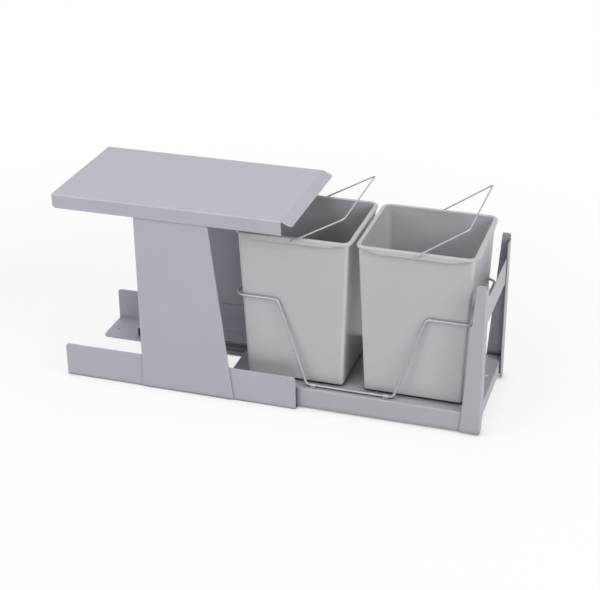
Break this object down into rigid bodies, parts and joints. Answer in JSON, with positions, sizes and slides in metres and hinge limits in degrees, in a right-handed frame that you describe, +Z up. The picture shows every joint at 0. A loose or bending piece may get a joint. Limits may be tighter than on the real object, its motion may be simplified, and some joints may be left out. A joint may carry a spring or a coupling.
{
  "type": "pull-out waste bin unit",
  "caption": "Steel frame for a narrow base cabinet, with a carriage on full-extension slides that carries tapered plastic bins with wire bails under a fixed cover plate.",
  "frame": {"origin": "middle of the four floor screw holes, on the underside of the feet", "axes": "+X to the right when facing the cabinet, +Y from the door to the back of the cabinet, +Z up"},
  "size_m": [0.264, 0.836, 0.4115],
  "materials": {
    "frame_paint": "satin silver-grey powder coat",
    "carriage_paint": "satin silver-grey powder coat",
    "bracket_zinc": "dull zinc plate",
    "slide_steel": "dark zinc plate, lightly oiled",
    "cage_steel": "thin bright pressed steel",
    "ball_steel": "polished ball steel",
    "rivet_steel": "plain steel",
    "stop_rubber": "matt black rubber",
    "wire_plating": "satin zinc-plated wire",
    "bin_plastic": "fine matt moulded polypropylene"
  },
  "bodies": {
    "base": {"left_base_rail": "frame_paint", "right_base_rail": "frame_paint", "left_upright": "frame_paint", "right_upright": "frame_paint", "cover_plate": "frame_paint", "left_slide_bracket": "bracket_zinc", "right_slide_bracket": "bracket_zinc", "left_slide_outer": "slide_steel", "right_slide_outer": "slide_steel", "slide_rivets": "rivet_steel", "slide_stops": "stop_rubber"},
    "carriage": {"carriage_tray": "carriage_paint", "left_front_arm": "carriage_paint", "right_front_arm": "carriage_paint", "front_tie_plate": "carriage_paint", "left_runner": "bracket_zinc", "right_runner": "bracket_zinc", "runner_rivets": "rivet_steel", "left_slide_inner": "slide_steel", "right_slide_inner": "slide_steel", "wire_cradle": "wire_plating", "cradle_clips": "wire_plating", "front_bin": "bin_plastic", "rear_bin": "bin_plastic"},
    "left_middle": {"left_slide_middle": "slide_steel"},
    "right_middle": {"right_slide_middle": "slide_steel"},
    "left_outer_ball_cage": {"left_outer_cage": "cage_steel", "left_outer_balls": "ball_steel"},
    "right_outer_ball_cage": {"right_outer_cage": "cage_steel", "right_outer_balls": "ball_steel"},
    "left_inner_ball_cage": {"left_inner_cage": "cage_steel", "left_inner_balls": "ball_steel"},
    "right_inner_ball_cage": {"right_inner_cage": "cage_steel", "right_inner_balls": "ball_steel"},
    "front_bail": {"front_bail": "wire_plating"},
    "rear_bail": {"rear_bail": "wire_plating"}
  },
  "joints": [
    {"name": "carriage_slide", "type": "slide", "parent": "base", "child": "carriage", "axis": [0, -1, 0], "range_m": [-0.335, 0.115]},
    {"name": "left_middle_slide", "type": "slide", "parent": "base", "child": "left_middle", "axis": [0, -1, 0], "range_m": [-0.1675, 0.0575]},
    {"name": "left_outer_cage_slide", "type": "slide", "parent": "base", "child": "left_outer_ball_cage", "axis": [0, -1, 0], "range_m": [-0.08375, 0.02875]},
    {"name": "left_inner_cage_slide", "type": "slide", "parent": "base", "child": "left_inner_ball_cage", "axis": [0, -1, 0], "range_m": [-0.25125, 0.08625]},
    {"name": "right_middle_slide", "type": "slide", "parent": "base", "child": "right_middle", "axis": [0, -1, 0], "range_m": [-0.1675, 0.0575]},
    {"name": "right_outer_cage_slide", "type": "slide", "parent": "base", "child": "right_outer_ball_cage", "axis": [0, -1, 0], "range_m": [-0.08375, 0.02875]},
    {"name": "right_inner_cage_slide", "type": "slide", "parent": "base", "child": "right_inner_ball_cage", "axis": [0, -1, 0], "range_m": [-0.25125, 0.08625]},
    {"name": "front_bail_hinge", "type": "hinge", "parent": "carriage", "child": "front_bail", "pos_m": [0, -0.461, 0.3445], "axis": [-1, 0, 0], "range_deg": [-41.35, 14.2]},
    {"name": "rear_bail_hinge", "type": "hinge", "parent": "carriage", "child": "rear_bail", "pos_m": [0, -0.228, 0.3445], "axis": [-1, 0, 0], "range_deg": [-41.35, 14.2]}
  ],
  "couplings": [
    {"joint": "left_middle_slide", "follows": "carriage_slide", "ratio": 0.5},
    {"joint": "left_outer_cage_slide", "follows": "carriage_slide", "ratio": 0.25},
    {"joint": "left_inner_cage_slide", "follows": "carriage_slide", "ratio": 0.75},
    {"joint": "right_middle_slide", "follows": "carriage_slide", "ratio": 0.5},
    {"joint": "right_outer_cage_slide", "follows": "carriage_slide", "ratio": 0.25},
    {"joint": "right_inner_cage_slide", "follows": "carriage_slide", "ratio": 0.75},
    {"joint": "front_bail_hinge", "follows": "carriage_slide", "rad_per_m": 2.1526},
    {"joint": "rear_bail_hinge", "follows": "carriage_slide", "rad_per_m": 2.1526}
  ]
}
